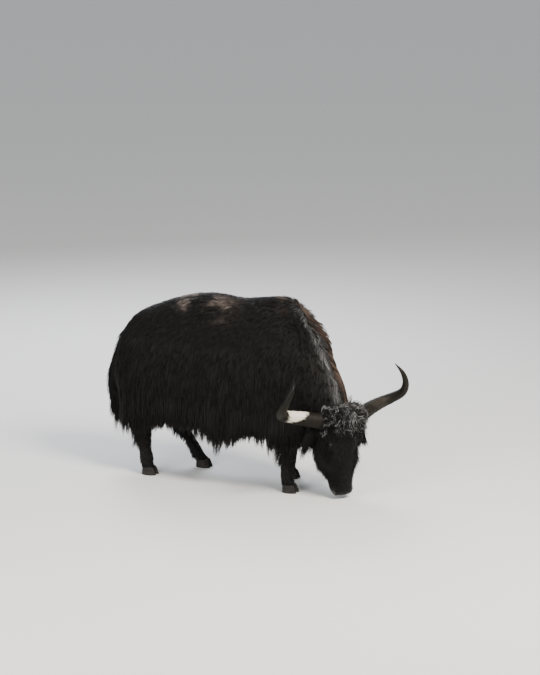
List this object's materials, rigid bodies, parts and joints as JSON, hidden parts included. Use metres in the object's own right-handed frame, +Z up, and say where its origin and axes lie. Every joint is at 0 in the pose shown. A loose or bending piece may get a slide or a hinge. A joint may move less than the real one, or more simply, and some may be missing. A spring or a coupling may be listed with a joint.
{
  "type": "yak",
  "caption": "Life-size still model of a long-haired black yak grazing, head lowered and turned to its right, with wide upswept horns.",
  "frame": {"origin": "on the ground, in the middle of the box round the animal", "axes": "+X the way the animal faces, +Y its left side, +Z up"},
  "size_m": [2.1661, 0.9432, 1.2998],
  "materials": {
    "coat": "long black hair over a dense undercoat, brown cast on the shoulder, grey muzzle",
    "horn": "horn, pale and ringed at the base, dark and polished at the tip",
    "eye": "wet dark brown eye",
    "hoof": "black hoof horn, dusty and worn"
  },
  "bodies": {
    "root": {"torso": "coat", "neck": "coat", "head": "coat", "tail": "coat", "ear_right": "coat", "ear_left": "coat", "leg_front_right": "coat", "leg_front_left": "coat", "leg_hind_right": "coat", "leg_hind_left": "coat", "eye_right": "eye", "eye_left": "eye", "horn_right": "horn", "horn_left": "horn", "claw_front_right_outer": "hoof", "claw_front_right_inner": "hoof", "claw_front_left_outer": "hoof", "claw_front_left_inner": "hoof", "claw_hind_right_outer": "hoof", "claw_hind_right_inner": "hoof", "claw_hind_left_outer": "hoof", "claw_hind_left_inner": "hoof"}
  },
  "joints": []
}
